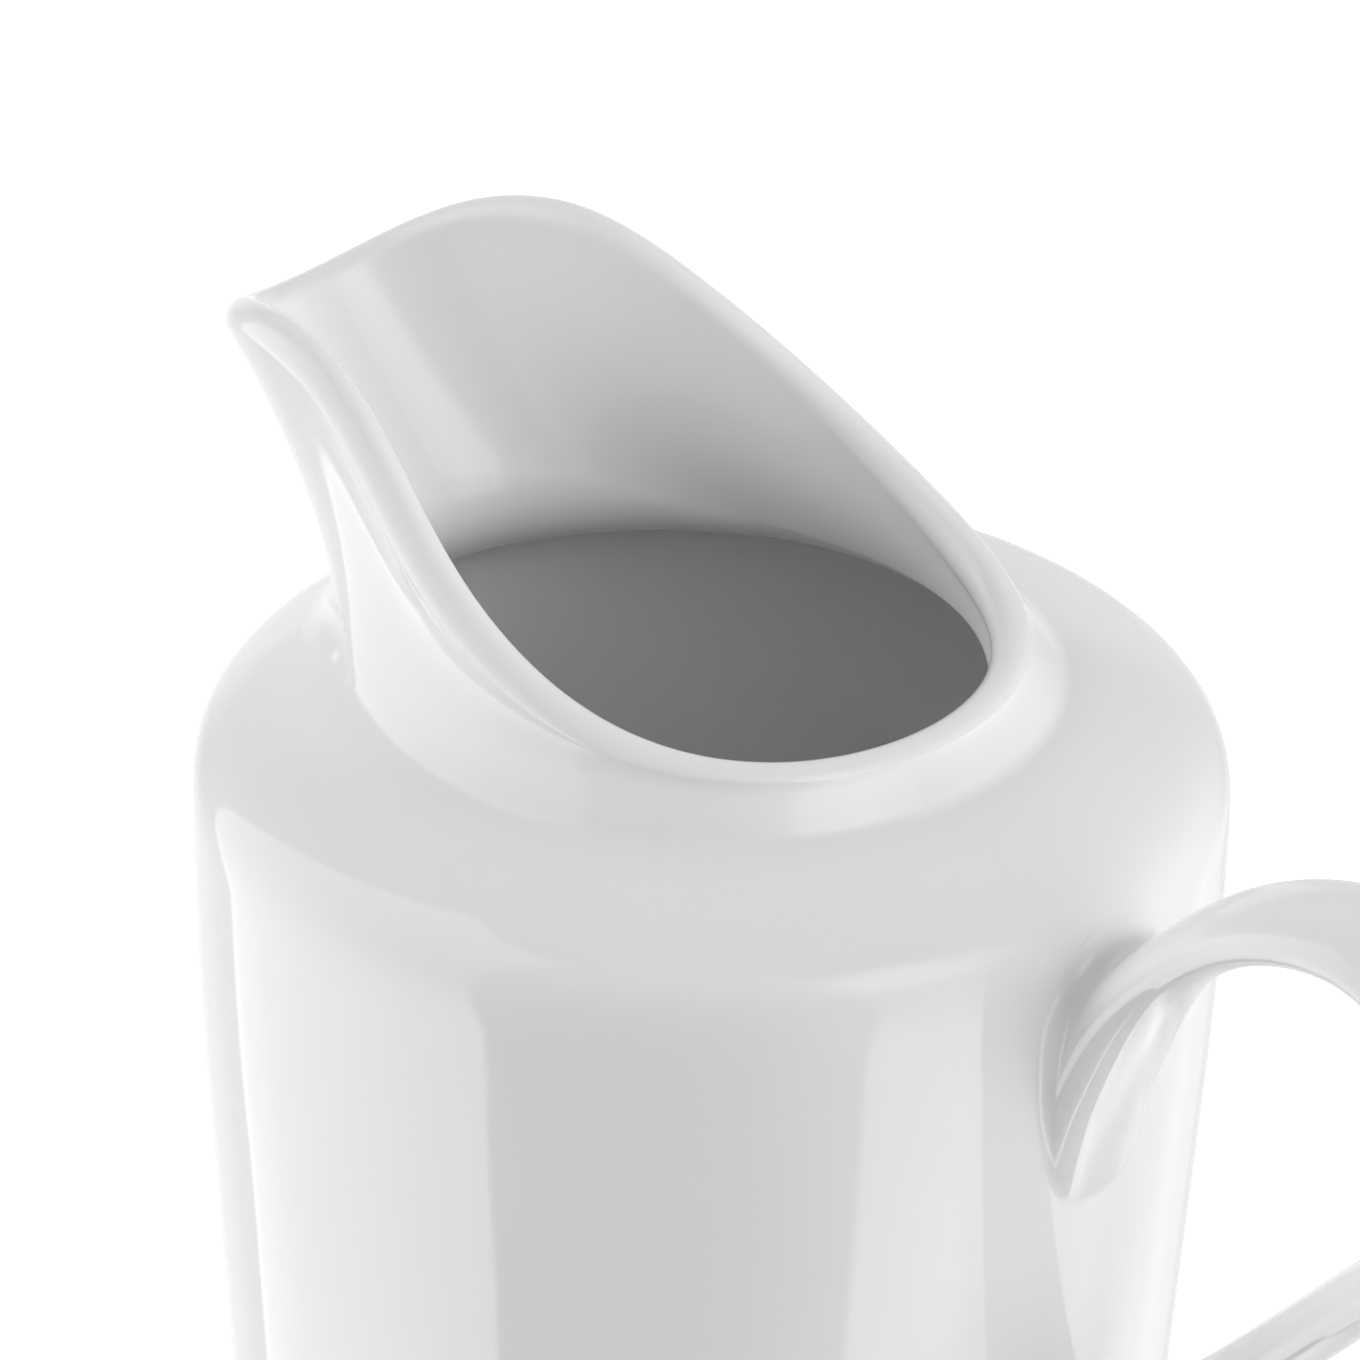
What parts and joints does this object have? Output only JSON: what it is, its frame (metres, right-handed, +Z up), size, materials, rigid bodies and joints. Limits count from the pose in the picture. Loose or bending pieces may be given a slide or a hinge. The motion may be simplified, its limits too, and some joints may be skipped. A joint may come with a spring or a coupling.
{
  "type": "ceramic pitcher",
  "caption": "Round white glazed ceramic pitcher: straight slightly tapered body, domed shoulder, a collar sweeping up into a broad pouring lip, and a looped strap handle.",
  "frame": {"origin": "on the axis of the round body, at the plane the foot ring stands on", "axes": "+Z up along the body's axis, spout towards -X and handle towards +X; Y is across, and XZ is the mirror plane"},
  "size_m": [0.1545, 0.1, 0.1448],
  "materials": {
    "vessel": "glossy white glaze",
    "handle": "glossy white glaze",
    "upper_slip_joint": "glossy white glaze",
    "lower_slip_joint": "glossy white glaze"
  },
  "bodies": {
    "root": {"vessel": "vessel", "handle": "handle", "upper_slip_joint": "upper_slip_joint", "lower_slip_joint": "lower_slip_joint"}
  },
  "joints": []
}
